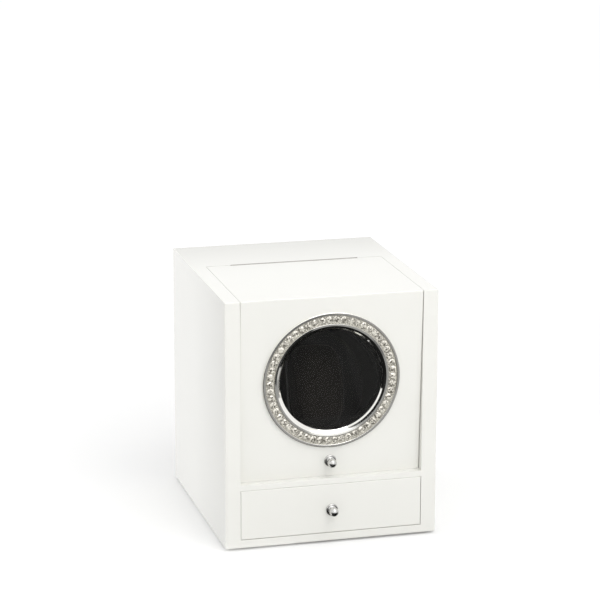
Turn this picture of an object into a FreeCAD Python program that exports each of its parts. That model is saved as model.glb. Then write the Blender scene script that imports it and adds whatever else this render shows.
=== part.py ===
import FreeCAD, Part
import math
import os
import re

import Sketcher
from FreeCAD import Placement, Rotation, Vector

# A single-watch winder box: a lacquered cabinet with a drawer below and an L-shaped lid above it.
# Frame: +Z up, front at -Y, origin on the table under the middle of the box. Sizes in millimetres,
# angles in degrees.

SIZES = {
    # Cabinet boards
    "cabinet_width": 185,
    "cabinet_depth": 202,
    "cabinet_height": 215,
    "side_thickness": 13,
    "base_thickness": 7,
    "drawer_bay": 43.7,
    "shelf_thickness": 5,
    "top_thickness": 12,
    "back_thickness": 8,
    "back_recess": 1,
    "edge_round": 0.8,
    "panel_gap": 0.3,
    "lid_rest_gap": 0.05,
    "fit_gap": 0.03,
    "overcut": 1,
    "foot_height": 2,
    "foot_radius": 7,
    "foot_inset": 14,
    # Lid and its hinge
    "lid_lean": 2.53,
    "lid_front_thickness": 12,
    "hinge_setback": 125.5,
    "hinge_depth": 0.6,
    "hinge_length": 115,
    "knuckle_radius": 1.1,
    "knuckle_room": 1.4,
    "pin_radius": 0.5,
    "running_gap": 0.05,
    "leaf_thickness": 0.6,
    "leaf_height": 9,
    "leaf_gap": 0.16,
    "lid_edge_gap": 0.1,
    "hinge_screw_radius": 0.8,
    "hinge_screw_head": 1.4,
    "hinge_screw_length": 7,
    "hinge_screw_drop": 5.4,
    "magnet_radius": 4,
    "magnet_length": 4,
    "strike_radius": 5,
    "strike_thickness": 1,
    # Window
    "window_height": 141.5,
    "rim_radius": 59.7,
    "rim_height": 2.1,
    "rim_bevel": 0.5,
    "channel_outer": 57,
    "channel_inner": 50,
    "channel_floor": 0.9,
    "channel_draft": 0.2,
    "inner_rim_drop": 0.4,
    "funnel_front": 47.8,
    "funnel_back": 44.3,
    "funnel_depth": 0.3,
    "sleeve_radius": 48.6,
    "sleeve_bore": 46.6,
    "sleeve_depth": 15.5,
    "sleeve_room": 0.2,
    "glass_thickness": 2.5,
    "gasket_thickness": 1.6,
    "gasket_width": 1.6,
    "nut_radius": 53.5,
    "stone_count": 54,
    "stone_radius": 3,
    "stone_table": 1.7,
    "stone_culet": 1.2,
    "stone_girdle": 1.5,
    "stone_top": 2.7,
    # Knobs
    "lid_knob_height": 69.5,
    "knob_flange_radius": 5.2,
    "knob_flange": 1.6,
    "knob_neck_radius": 2.8,
    "knob_ball_radius": 3.9,
    "knob_ball_reach": 7.5,
    "knob_screw_radius": 2,
    "knob_screw_bite": 6,
    "knob_screw_head_radius": 4,
    "knob_screw_head": 2,
    "drawer_knob_drop": 1,
    # Drawer
    "drawer_front_thickness": 14,
    "drawer_side_thickness": 7.5,
    "drawer_side_height": 35,
    "drawer_back_room": 3,
    "drawer_bottom_thickness": 3,
    "drawer_bottom_lift": 2,
    "lining_thickness": 1.5,
    "slide_gap": 0.3,
    # Inner boards
    "drum_tilt": 15,
    "drum_setback": 41,
    "drum_height": 125,
    "fascia_thickness": 8,
    "fascia_below": 69.5,
    "fascia_above": 78,
    "fascia_opening": 55,
    "board_room": 0.3,
    "deck_top_room": 1,
    "deck_thickness": 4,
    "deck_front": 69.5,
    "deck_length": 72,
    "cleat_section": 9,
    "cleat_length": 120,
    # Drum and drive, depths counted back from the fascia's face along the drum's axis
    "cup_radius": 54,
    "cup_wall": 2,
    "cup_depth": 48,
    "cup_floor": 3,
    "hub_radius": 10,
    "hub_length": 2,
    "cradle_width": 51,
    "cradle_height": 48,
    "cradle_wall": 2,
    "cradle_depth": 34,
    "cushion_width": 46,
    "cushion_tall": 76,
    "cushion_deep": 45,
    "cushion_proud": 10,
    "cushion_end_radius": 16,
    "shaft_radius": 4,
    "shaft_end": 96,
    "pulley_start": 54,
    "pulley_width": 8,
    "pulley_flange": 1.2,
    "pulley_flange_height": 2,
    "rotor_pulley_radius": 30,
    "motor_pulley_radius": 6,
    "belt_thickness": 1.2,
    "belt_width": 5,
    "belt_gap": 0.15,
    "plate_front": 66,
    "plate_thickness": 4,
    "plate_left": 54,
    "plate_right": 68,
    "plate_half_height": 50,
    "standoff_radius": 4,
    "standoff_across": 46,
    "standoff_up": 42,
    "housing_radius": 9,
    "housing_bore": 7,
    "housing_flange_radius": 16,
    "housing_flange": 3,
    "housing_front": 64,
    "housing_length": 24,
    "bush_length": 8,
    "collar_radius": 8,
    "collar_length": 4,
    "collar_room": 0.5,
    "motor_offset": 50,
    "motor_shaft_radius": 3,
    "motor_boss_radius": 5,
    "gearbox_radius": 16,
    "gearbox_length": 18,
    "motor_radius": 12,
    "motor_length": 26,
    "motor_screw_radius": 1.5,
    "motor_screw_head_radius": 2.8,
    "motor_screw_head": 1.5,
    "motor_screw_length": 9,
    "motor_screw_spread": 11,
    "lead_radius": 1.6,
    "lead_run": 13,
    "lead_across": 22,
    # Controls on the back
    "control_height": 85,
    "seat_room": 0.5,
    "control_plate_half_width": 33,
    "control_plate_half_height": 22,
    "control_plate_thickness": 1.5,
    "plate_screw_across": 29.5,
    "plate_screw_up": 18.5,
    "plate_screw_radius": 1.2,
    "plate_screw_head_radius": 2.2,
    "plate_screw_head": 1.2,
    "plate_screw_length": 7,
    "rocker_across": -17,
    "rocker_half_width": 5,
    "rocker_half_height": 8,
    "rocker_tilt": 8,
    "rocker_deep": 2.6,
    "rocker_proud": 2.6,
    "rocker_pin_radius": 1,
    "rocker_side_gap": 0.3,
    "rocker_end_gap": 0.8,
    "housing_wall": 1.3,
    "housing_lip": 1.4,
    "housing_lip_width": 1,
    "rocker_housing_deep": 11,
    "selector_across": 2,
    "selector_half": 6,
    "selector_deep": 9,
    "selector_bushing_radius": 3.8,
    "selector_nut_radius": 5.5,
    "selector_nut": 1.7,
    "selector_shaft_radius": 2.5,
    "selector_shaft_length": 8,
    "selector_knob_radius": 7.5,
    "selector_knob_gap": 0.6,
    "pointer_width": 1.2,
    "pointer_depth": 0.8,
    "jack_across": 20,
    "jack_half": 5.5,
    "jack_deep": 10,
    "jack_barrel_radius": 3.9,
    "jack_flange_radius": 5.6,
    "jack_flange": 1.6,
    "jack_bore": 2.8,
    "jack_bore_depth": 9,
    "jack_pin_radius": 1,
    "board_half_width": 34,
    "board_half_height": 22,
    "board_thickness": 1.6,
    "board_setback": 12,
    "chip_half": 5,
    "chip_height": 2,
    "spacer_radius": 2.5,
    "spacer_across": 30,
    "spacer_up": 18.5,
}

KNUCKLE_COUNT = 9
HINGE_SCREW_COUNT = 4

doc = FreeCAD.newDocument("watch_winder_box")
sheet = doc.addObject("Spreadsheet::Sheet", "Sizes")
for row, (alias, size) in enumerate(SIZES.items(), start=1):
    sheet.set(f"A{row}", alias)
    sheet.set(f"B{row}", str(size))
    sheet.setAlias(f"B{row}", alias)
doc.recompute()

# Planes and lines that many pieces share, as formulas of the driving sizes
FRONT = "(-cabinet_depth / 2)"
BACK = "(cabinet_depth / 2)"
BOTTOM = "foot_height"
ROOF = "(foot_height + cabinet_height)"
INNER = "(cabinet_width / 2 - side_thickness)"
BASE_TOP = "(foot_height + base_thickness)"
SHELF_LOW = f"({BASE_TOP} + drawer_bay)"
SHELF_TOP = f"({SHELF_LOW} + shelf_thickness)"
CEILING = f"({ROOF} - top_thickness)"
BACK_FACE = f"({BACK} - back_recess)"
BACK_INSIDE = f"({BACK_FACE} - back_thickness)"
HINGE_Y = f"({FRONT} + hinge_setback)"
HINGE_Z = f"({ROOF} - hinge_depth)"
LID_HALF = f"({INNER} - panel_gap)"
LID_LOW = f"({SHELF_TOP} + lid_rest_gap)"
WINDOW_Z = "(foot_height + window_height)"
LID_KNOB_Z = "(foot_height + lid_knob_height)"
DRUM_Y = f"({FRONT} + drum_setback)"
DRUM_Z = "(foot_height + drum_height)"
CONTROL_Z = "(foot_height + control_height)"
PLATE_FACE = f"({BACK_FACE} + control_plate_thickness)"
PLATE_REAR = "(plate_front + plate_thickness)"
GEARBOX_END = f"({PLATE_REAR} + gearbox_length)"
PULLEY_END = "(pulley_start + pulley_width)"
CUP_END = "(cup_depth + cup_floor)"

finished = []


def linked(text):
    """The formula with every size's name turned into its cell in the sheet."""

    def cell(found):
        word = found.group()
        return f"Sizes.{word}" if word in SIZES else word

    return re.sub(r"[a-z_]+", cell, text)


def number(text):
    """What a formula comes to now."""
    return float(sheet.evalExpression(linked(text)))


def bind(item, **formulas):
    """Ties properties of an object to formulas; a double underscore stands for a dot."""
    for name, text in formulas.items():
        item.setExpression(name.replace("__", "."), linked(text))


def place(item, x="0", y="0", z="0", turn=None):
    """Stands an object at a point, turned about X by an angle where one is given."""
    about_x = Rotation(Vector(1, 0, 0), 90 if turn else 0)
    item.Placement = Placement(Vector(number(x), number(y), number(z)), about_x)
    bind(item, Placement__Base__x=x, Placement__Base__y=y, Placement__Base__z=z)
    if turn:
        bind(item, Placement__Rotation__Angle=turn)


def done(item, label):
    """Names a finished piece, which then gets its own file."""
    item.Label = label
    finished.append(item)
    return item


def block(x, y, z):
    """A box between pairs of formulas along each axis."""
    box = doc.addObject("Part::Box", "block")
    bind(box, Length=f"{x[1]} - ({x[0]})", Width=f"{y[1]} - ({y[0]})", Height=f"{z[1]} - ({z[0]})")
    place(box, x[0], y[0], z[0])
    return box


def both(half):
    """The pair of formulas from minus a half size to plus it."""
    return f"-({half})", half


def rod(radius, start, end, x="0", y="0"):
    """A round bar along Z between two heights."""
    bar = doc.addObject("Part::Cylinder", "rod")
    bind(bar, Radius=radius, Height=f"{end} - ({start})")
    place(bar, x, y, start)
    return bar


def bar_along_x(radius, start, end, y, z):
    """A round bar along X between two places."""
    bar = doc.addObject("Part::Cylinder", "bar")
    bar.Placement = Placement(Vector(number(start), number(y), number(z)), Rotation(Vector(0, 1, 0), 90))
    bind(bar, Radius=radius, Height=f"{end} - ({start})")
    bind(bar, Placement__Base__x=start, Placement__Base__y=y, Placement__Base__z=z)
    return bar


def join(*pieces):
    """Several solids fused into one."""
    whole = doc.addObject("Part::MultiFuse", "join")
    whole.Shapes = list(pieces)
    whole.Refine = True
    return whole


def cut(base, *tools):
    """A solid with others taken out of it."""
    rest = doc.addObject("Part::Cut", "cut")
    rest.Base = base
    rest.Tool = tools[0] if len(tools) == 1 else join(*tools)
    return rest


def group(*pieces):
    """Like solids that share a node."""
    several = doc.addObject("Part::Compound", "group")
    several.Links = list(pieces)
    return several


def sketch_on(body, role, outline):
    """A closed outline of straight lines whose corners are tied to pairs of formulas."""
    sketch = body.newObject("Sketcher::SketchObject", "outline")
    plane = next(item for item in body.Origin.OriginFeatures if item.Role == role)
    sketch.AttachmentSupport = (plane, [""])
    sketch.MapMode = "FlatFace"
    corners = [Vector(number(across), number(up), 0) for across, up in outline]
    for index, corner in enumerate(corners):
        sketch.addGeometry(Part.LineSegment(corner, corners[(index + 1) % len(corners)]), False)
    for index in range(len(corners)):
        sketch.addConstraint(Sketcher.Constraint("Coincident", index, 2, (index + 1) % len(corners), 1))
    for index, (across, up) in enumerate(outline):
        spot = corners[index]
        for kind, text, now in (("DistanceX", across, spot.x), ("DistanceY", up, spot.y)):
            rule = sketch.addConstraint(Sketcher.Constraint(kind, -1, 1, index, 1, now))
            sketch.setExpression(f"Constraints[{rule}]", linked(text))
    return sketch


def turned(profile, across="0"):
    """A piece turned about an upright axis, some way along X, from (radius, height) corners."""
    body = doc.addObject("PartDesign::Body", "turned")
    sketch = sketch_on(body, "XZ_Plane", profile)
    bind(sketch, AttachmentOffset__Base__x=across)
    revolution = body.newObject("PartDesign::Revolution", "revolution")
    revolution.Profile = sketch
    revolution.ReferenceAxis = (sketch, ["V_Axis"])
    revolution.Angle = 360
    return body


def board_across(outline, half):
    """A board with an outline of (y, z) corners, reaching the same way to both sides along X."""
    body = doc.addObject("PartDesign::Body", "board")
    pad = body.newObject("PartDesign::Pad", "pad")
    pad.Profile = sketch_on(body, "YZ_Plane", outline)
    pad.Midplane = True
    bind(pad, Length=f"2 * ({half})")
    doc.recompute()
    return body


def rectangle(y, z):
    """The four corners between two pairs of formulas."""
    return [(y[0], z[0]), (y[1], z[0]), (y[1], z[1]), (y[0], z[1])]


def soften(body, wanted):
    """Rounds the edges of a board whose middle point passes a test."""
    edges = body.Shape.Edges
    names = [f"Edge{index}" for index, edge in enumerate(edges, start=1) if wanted(edge.CenterOfMass)]
    sharp = body.Tip
    fillet = body.newObject("PartDesign::Fillet", "rounding")
    fillet.Base = (sharp, names)
    bind(fillet, Radius="edge_round")
    doc.recompute()
    return body


def near(value, text):
    """Whether a number is where a formula puts it."""
    return abs(value - number(text)) < 0.05


def in_lid_front(item, height):
    """Stands a piece on the lid's sloping face at a height, with its own Z straight out of the face."""
    place(item, "0", f"{FRONT} + ({ROOF} - {height}) * tan(lid_lean)", height, "90 + lid_lean")
    return item


def in_drum(item):
    """Stands a piece in the drum's leaning frame: Z out along its axis, Y up the fascia."""
    place(item, "0", DRUM_Y, DRUM_Z, "90 - drum_tilt")
    return item


def on_back(item, across):
    """Stands a piece on the control plate's outer face, with its own Z straight out of the back."""
    place(item, across, PLATE_FACE, CONTROL_Z, "-90")
    return item


def screw(radius, length, head_radius, head, x="0", y="0"):
    """A screw whose head sits on Z = 0 and whose shank goes down from there."""
    return join(rod(radius, f"-({length})", "0", x, y), rod(head_radius, "0", head, x, y))


# Cabinet boards: two sides carry a base, a shelf, the rear of the top and a back
for side_name, sign in (("left_side_panel", -1), ("right_side_panel", 1)):
    side = doc.addObject("PartDesign::Body", side_name)
    side_pad = side.newObject("PartDesign::Pad", "pad")
    side_pad.Profile = sketch_on(side, "YZ_Plane", rectangle((FRONT, BACK), (BOTTOM, ROOF)))
    bind(side_pad, Length="side_thickness")
    place(side, "-cabinet_width / 2" if sign < 0 else INNER)
    doc.recompute()
    soften(side, lambda middle: not near(abs(middle.x), INNER))
    done(side, side_name)

base = board_across(rectangle((FRONT, BACK), (BOTTOM, BASE_TOP)), INNER)
soften(base, lambda middle: near(middle.z, BOTTOM) and near(abs(middle.y), BACK))
done(base, "base_panel")

shelf = block(both(INNER), (FRONT, BACK_INSIDE), (SHELF_LOW, SHELF_TOP))
MAGNET_Y = f"({FRONT} + ({ROOF} - {LID_LOW}) * tan(lid_lean) + lid_front_thickness / 2)"
STRIKE_LOW = f"{SHELF_TOP} - strike_thickness"
strike_seat = rod("strike_radius + fit_gap", STRIKE_LOW, f"{SHELF_TOP} + overcut", "0", MAGNET_Y)
done(cut(shelf, strike_seat), "middle_shelf")
done(rod("strike_radius", STRIKE_LOW, SHELF_TOP, "0", MAGNET_Y), "lid_strike")

KNUCKLE_HALF = "(hinge_length / 2 + leaf_gap)"
REAR_EDGE = f"({HINGE_Y} + leaf_gap + leaf_thickness)"
top_rear = board_across(rectangle((REAR_EDGE, BACK), (CEILING, ROOF)), INNER)
soften(top_rear, lambda middle: near(middle.z, ROOF) and near(middle.y, BACK))
knuckle_space = bar_along_x("knuckle_room", *both(KNUCKLE_HALF), HINGE_Y, HINGE_Z)

feet = []
for foot_x in ("cabinet_width / 2 - foot_inset", "foot_inset - cabinet_width / 2"):
    for foot_y in (f"{FRONT} + foot_inset", f"{BACK} - foot_inset"):
        feet.append(rod("foot_radius", "0", "foot_height", foot_x, foot_y))
done(group(*feet), "feet")

# Back board, with seats routed for the controls and holes for the control plate's screws
FRAME_HALF_X = "(rocker_half_width + rocker_side_gap + housing_wall)"
FRAME_HALF_Z = "(rocker_half_height + rocker_end_gap + housing_wall)"


def behind_plate(across, half_x, half_z, y):
    """A box round a control's middle, between two places along Y."""
    return block(
        (f"{across} - ({half_x})", f"{across} + ({half_x})"),
        y,
        (f"{CONTROL_Z} - ({half_z})", f"{CONTROL_Z} + ({half_z})"),
    )


def at_plate_screws(make):
    """A group of one piece at each corner of the control plate, set on the back."""
    corners = [(x, y) for x in both("plate_screw_across") for y in both("plate_screw_up")]
    return on_back(group(*[make(x, y) for x, y in corners]), "0")


def plate_screw(x, y):
    """A screw of the control plate."""
    sizes = ("plate_screw_radius", "plate_screw_length", "plate_screw_head_radius", "plate_screw_head")
    return screw(*sizes, x, y)


def plate_screw_hole(x, y):
    """The hole of a screw of the control plate, through the plate and into the board."""
    return rod("plate_screw_radius + fit_gap", "-plate_screw_length - fit_gap", "overcut", x, y)


back_board = block(both(INNER), (BACK_INSIDE, BACK_FACE), (BASE_TOP, CEILING))
THROUGH_BACK = (f"{BACK_INSIDE} - overcut", f"{BACK_FACE} + overcut")
SELECTOR_SEAT = "selector_half + seat_room"
JACK_SEAT = "jack_half + seat_room"
seats = [
    behind_plate(
        "rocker_across", f"{FRAME_HALF_X} + seat_room", f"{FRAME_HALF_Z} + seat_room", THROUGH_BACK
    ),
    behind_plate("selector_across", SELECTOR_SEAT, SELECTOR_SEAT, THROUGH_BACK),
    behind_plate("jack_across", JACK_SEAT, JACK_SEAT, THROUGH_BACK),
]
done(cut(back_board, *seats, at_plate_screws(plate_screw_hole)), "back_panel")
done(at_plate_screws(plate_screw), "control_plate_screws")

# Hinge: two leaves stand in the joint between lid and top, with their knuckles sunk in a slot


def hinge_leaf(first, leaf, screws):
    """A leaf with every second knuckle, cleared where the other leaf's knuckles turn."""
    plate = block(both("hinge_length / 2"), leaf, (f"{HINGE_Z} - leaf_height", HINGE_Z))
    own, clear = [plate], []
    for index in range(KNUCKLE_COUNT):
        start = f"(hinge_length * {index / KNUCKLE_COUNT} - hinge_length / 2)"
        end = f"(hinge_length * {(index + 1) / KNUCKLE_COUNT} - hinge_length / 2)"
        if index % 2 == first:
            span = (f"{start} + leaf_gap / 2", f"{end} - leaf_gap / 2")
            own.append(bar_along_x("knuckle_radius", *span, HINGE_Y, HINGE_Z))
        else:
            span = (f"{start} - leaf_gap / 2", f"{end} + leaf_gap / 2")
            clear.append(bar_along_x("knuckle_radius + leaf_gap", *span, HINGE_Y, HINGE_Z))
    bore = bar_along_x("pin_radius + running_gap", *both("hinge_length / 2 + overcut"), HINGE_Y, HINGE_Z)
    return cut(cut(join(*own), *clear), bore, screws)


def hinge_screws(face, turn, room):
    """Flush screws along a leaf's face, driven into the board behind it, with a little room if cut."""
    screws = []
    for index in range(HINGE_SCREW_COUNT):
        x = f"(hinge_length * {(index + 0.5) / HINGE_SCREW_COUNT - 0.5})"
        shank = rod(f"hinge_screw_radius + {room}", f"-hinge_screw_length - {room}", "0", x)
        head = rod(f"hinge_screw_head + {room}", "-leaf_thickness", "0", x)
        screws.append(join(shank, head))
    several = group(*screws)
    place(several, "0", face, f"{HINGE_Z} - hinge_screw_drop", turn)
    return several


REAR_LEAF = (f"({HINGE_Y} + leaf_gap)", REAR_EDGE)
LID_LEAF = (f"({HINGE_Y} - leaf_gap - leaf_thickness)", f"({HINGE_Y} - leaf_gap)")
REAR_SCREWS = (REAR_LEAF[0], "90")
LID_SCREWS = (LID_LEAF[1], "-90")
done(cut(top_rear, knuckle_space, hinge_screws(*REAR_SCREWS, "fit_gap")), "top_rear_panel")
done(hinge_leaf(0, REAR_LEAF, hinge_screws(*REAR_SCREWS, "fit_gap")), "cabinet_hinge_leaf")
done(hinge_screws(*REAR_SCREWS, "0"), "cabinet_hinge_screws")
done(hinge_leaf(1, LID_LEAF, hinge_screws(*LID_SCREWS, "fit_gap")), "lid_hinge_leaf")
done(hinge_screws(*LID_SCREWS, "0"), "lid_hinge_screws")
done(bar_along_x("pin_radius", *both("hinge_length / 2"), HINGE_Y, HINGE_Z), "hinge_pin")

# Lid: a level top board and a front board that slopes back as it goes down
SLOPE = f"({ROOF} - {LID_LOW}) * tan(lid_lean)"
lid_front = board_across(
    [
        (FRONT, ROOF),
        (f"{FRONT} + {SLOPE}", LID_LOW),
        (f"{FRONT} + {SLOPE} + lid_front_thickness", LID_LOW),
        (f"{FRONT} + lid_front_thickness", ROOF),
    ],
    LID_HALF,
)


def on_lid_face(middle):
    """Whether a point lies on the lid's sloping face, above its lower edge."""
    depth = (number(ROOF) - middle.z) * math.tan(math.radians(SIZES["lid_lean"]))
    return abs(middle.y - number(FRONT) - depth) < 0.05 and not near(middle.z, LID_LOW)


soften(lid_front, on_lid_face)
THROUGH_LID = ("-2 * lid_front_thickness", "lid_front_thickness")
window_hole = in_lid_front(group(rod("sleeve_radius + sleeve_room", *THROUGH_LID)), WINDOW_Z)
knob_hole = in_lid_front(group(rod("knob_screw_radius + fit_gap", *THROUGH_LID)), LID_KNOB_Z)
MAGNET_TOP = f"{LID_LOW} + magnet_length"
magnet_seat = rod("magnet_radius + fit_gap", f"{LID_LOW} - overcut", MAGNET_TOP, "0", MAGNET_Y)
done(cut(lid_front, window_hole, knob_hole, magnet_seat), "lid_front_panel")
done(rod("magnet_radius", LID_LOW, MAGNET_TOP, "0", MAGNET_Y), "lid_magnet")

LID_EDGE = f"({HINGE_Y} - lid_edge_gap)"
lid_top = board_across(
    [
        (f"{FRONT} + lid_front_thickness", ROOF),
        (f"{FRONT} + lid_front_thickness + top_thickness * tan(lid_lean)", CEILING),
        (LID_EDGE, CEILING),
        (LID_EDGE, ROOF),
    ],
    LID_HALF,
)
LEAF_SEAT_Z = (f"{HINGE_Z} - leaf_height - leaf_gap", f"{ROOF} + overcut")
leaf_seat = block(both(KNUCKLE_HALF), (LID_LEAF[0], HINGE_Y), LEAF_SEAT_Z)
lid_knuckle_space = bar_along_x("knuckle_room", *both(KNUCKLE_HALF), HINGE_Y, HINGE_Z)
done(cut(lid_top, leaf_seat, lid_knuckle_space, hinge_screws(*LID_SCREWS, "fit_gap")), "lid_top_panel")

# Window: a chrome bezel whose sleeve goes through the lid, with a channel for the stones
bezel = turned(
    [
        ("rim_radius", "0"),
        ("rim_radius", "rim_height - rim_bevel"),
        ("rim_radius - rim_bevel", "rim_height"),
        ("channel_outer + channel_draft", "rim_height"),
        ("channel_outer", "channel_floor"),
        ("channel_inner", "channel_floor"),
        ("channel_inner - channel_draft", "rim_height"),
        ("funnel_front", "rim_height - inner_rim_drop"),
        ("funnel_back", "-funnel_depth"),
        ("sleeve_bore", "-funnel_depth"),
        ("sleeve_bore", "-sleeve_depth"),
        ("sleeve_radius", "-sleeve_depth"),
        ("sleeve_radius", "0"),
    ]
)
done(in_lid_front(bezel, WINDOW_Z), "window_bezel")

STONE_RING = "(channel_outer + channel_inner) / 2"
stones = turned(
    [
        ("0", "channel_floor + fit_gap"),
        ("stone_culet", "channel_floor + fit_gap"),
        ("stone_radius", "stone_girdle"),
        ("stone_table", "stone_top"),
        ("0", "stone_top"),
    ],
    STONE_RING,
)
stones.AllowCompound = True
one_stone = stones.Tip
stone_ring = stones.newObject("PartDesign::PolarPattern", "stone_ring")
stone_ring.Originals = [one_stone]
stone_ring.Axis = (next(item for item in stones.Origin.OriginFeatures if item.Role == "Z_Axis"), [""])
stone_ring.Angle = 360
bind(stone_ring, Occurrences="stone_count")
stones.Tip = stone_ring
done(in_lid_front(stones, WINDOW_Z), "bezel_crystals")

glass = group(rod("sleeve_bore - fit_gap", "-funnel_depth - glass_thickness", "-funnel_depth"))
done(in_lid_front(glass, WINDOW_Z), "window_glass")
gasket = turned(
    [
        ("sleeve_bore - gasket_width", "-funnel_depth - glass_thickness"),
        ("sleeve_bore - fit_gap", "-funnel_depth - glass_thickness"),
        ("sleeve_bore - fit_gap", "-funnel_depth - glass_thickness - gasket_thickness"),
        ("sleeve_bore - gasket_width", "-funnel_depth - glass_thickness - gasket_thickness"),
    ]
)
done(in_lid_front(gasket, WINDOW_Z), "window_gasket")
LID_INSIDE = "(lid_front_thickness * cos(lid_lean))"
nut = turned(
    [
        ("sleeve_radius + fit_gap", f"-{LID_INSIDE}"),
        ("nut_radius", f"-{LID_INSIDE}"),
        ("nut_radius", "rim_bevel - sleeve_depth"),
        ("nut_radius - rim_bevel", "-sleeve_depth"),
        ("sleeve_radius + fit_gap", "-sleeve_depth"),
    ]
)
done(in_lid_front(nut, WINDOW_Z), "bezel_nut")


# Knobs: a flange, a neck and a ball, held by a screw from inside
def knob():
    """A ball knob standing on Z = 0, with a blind hole for its screw."""
    ball = doc.addObject("Part::Sphere", "ball")
    bind(ball, Radius="knob_ball_radius")
    place(ball, "0", "0", "knob_ball_reach")
    flange = rod("knob_flange_radius", "0", "knob_flange")
    neck = rod("knob_neck_radius", "0", "knob_ball_reach")
    hole = rod("knob_screw_radius + fit_gap", "-overcut", "knob_screw_bite + fit_gap")
    return cut(join(flange, neck, ball), hole)


def knob_screw(depth):
    """The screw of a knob: its head lies against the inside of a board of that depth."""
    shank = rod("knob_screw_radius", f"-({depth})", "knob_screw_bite")
    head = rod("knob_screw_head_radius", f"-({depth}) - knob_screw_head", f"-({depth})")
    return join(shank, head)


DRAWER_KNOB_Z = f"({BASE_TOP} + drawer_bay / 2 - drawer_knob_drop)"
done(in_lid_front(knob(), LID_KNOB_Z), "lid_knob")
done(in_lid_front(knob_screw(LID_INSIDE), LID_KNOB_Z), "lid_knob_screw")
drawer_knob = knob()
drawer_knob_screw = knob_screw("drawer_front_thickness")
for item, label in ((drawer_knob, "drawer_knob"), (drawer_knob_screw, "drawer_knob_screw")):
    place(item, "0", FRONT, DRAWER_KNOB_Z, "90")
    done(item, label)

# Drawer: a lacquered front on a thin box with a lined bottom
DRAWER_LOW = f"({BASE_TOP} + panel_gap)"
FRONT_REAR = f"({FRONT} + drawer_front_thickness)"
DRAWER_END = f"({BACK_INSIDE} - drawer_back_room)"
BOX_LOW = f"({BASE_TOP} + slide_gap)"
BOX_TOP = f"({BOX_LOW} + drawer_side_height)"
SIDE_INNER = f"({LID_HALF} - drawer_side_thickness)"
TRAY_LOW = f"({BOX_LOW} + drawer_bottom_lift)"
TRAY_TOP = f"({TRAY_LOW} + drawer_bottom_thickness)"
DRAWER_TOP = f"({SHELF_LOW} - panel_gap)"
drawer_face = board_across(rectangle((FRONT, FRONT_REAR), (DRAWER_LOW, DRAWER_TOP)), LID_HALF)
soften(drawer_face, lambda middle: near(middle.y, FRONT))
THROUGH_DRAWER_FRONT = ("-2 * drawer_front_thickness", "drawer_front_thickness")
drawer_hole = group(rod("knob_screw_radius + fit_gap", *THROUGH_DRAWER_FRONT))
place(drawer_hole, "0", FRONT, DRAWER_KNOB_Z, "90")
done(cut(drawer_face, drawer_hole), "drawer_front")
SIDE_DEPTH = (FRONT_REAR, DRAWER_END)
SIDE_HEIGHT = (BOX_LOW, BOX_TOP)
done(block((f"-{LID_HALF}", f"-{SIDE_INNER}"), SIDE_DEPTH, SIDE_HEIGHT), "drawer_left_side")
done(block((SIDE_INNER, LID_HALF), SIDE_DEPTH, SIDE_HEIGHT), "drawer_right_side")
BACK_BOARD = f"({DRAWER_END} - drawer_side_thickness)"
done(block(both(SIDE_INNER), (BACK_BOARD, DRAWER_END), SIDE_HEIGHT), "drawer_back")
done(block(both(SIDE_INNER), (FRONT_REAR, BACK_BOARD), (TRAY_LOW, TRAY_TOP)), "drawer_bottom")
LINING_Y = (f"{FRONT_REAR} + board_room", f"{BACK_BOARD} - board_room")
LINING_Z = (TRAY_TOP, f"{TRAY_TOP} + lining_thickness")
done(block(both(f"{SIDE_INNER} - board_room"), LINING_Y, LINING_Z), "drawer_lining")

# Inner boards: a leaning fascia round the drum and a level deck behind it, on cleats
BOARD_HALF = f"({INNER} - board_room)"
fascia = block(both(BOARD_HALF), ("-fascia_below", "fascia_above"), ("-fascia_thickness", "0"))
fascia_hole = rod("fascia_opening", "-fascia_thickness - overcut", "overcut")
done(in_drum(cut(fascia, fascia_hole)), "fascia_panel")
DECK_TOP = f"({CEILING} - deck_top_room)"
DECK_Y = (f"({FRONT} + deck_front)", f"({FRONT} + deck_front + deck_length)")
done(block(both(BOARD_HALF), DECK_Y, (f"{DECK_TOP} - deck_thickness", DECK_TOP)), "deck_panel")
cleats = []
for low, high in ((f"-{INNER}", f"cleat_section - {INNER}"), (f"{INNER} - cleat_section", INNER)):
    behind_fascia = ("-fascia_thickness - cleat_section", "-fascia_thickness")
    cleats.append(in_drum(group(block((low, high), both("cleat_length / 2"), behind_fascia))))
    under_deck = (f"{DECK_TOP} - deck_thickness - cleat_section", f"{DECK_TOP} - deck_thickness")
    cleats.append(block((low, high), (f"{DECK_Y[0]} + cleat_section", DECK_Y[1]), under_deck))
done(group(*cleats), "lining_cleats")

# Drum: a cup on a shaft, with a cradle that grips the cushion by its ends
cup = turned(
    [
        ("shaft_radius + fit_gap", "-cup_depth"),
        ("cup_radius - cup_wall", "-cup_depth"),
        ("cup_radius - cup_wall", "0"),
        ("cup_radius", "0"),
        ("cup_radius", f"-{CUP_END}"),
        ("hub_radius", f"-{CUP_END}"),
        ("hub_radius", f"-{CUP_END} - hub_length"),
        ("shaft_radius + fit_gap", f"-{CUP_END} - hub_length"),
    ]
)
done(in_drum(cup), "drum_cup")
CRADLE_BACK = ("-cup_depth", "cradle_wall - cup_depth")
CRADLE_SIDE = ("-cup_depth", "cradle_depth - cup_depth")
CHEEK = "(cradle_width / 2 - cradle_wall)"
cradle = join(
    block(both("cradle_width / 2"), both("cradle_height / 2"), CRADLE_BACK),
    block(("-cradle_width / 2", f"-{CHEEK}"), both("cradle_height / 2"), CRADLE_SIDE),
    block((CHEEK, "cradle_width / 2"), both("cradle_height / 2"), CRADLE_SIDE),
)
done(in_drum(cradle), "cushion_cradle")


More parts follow.
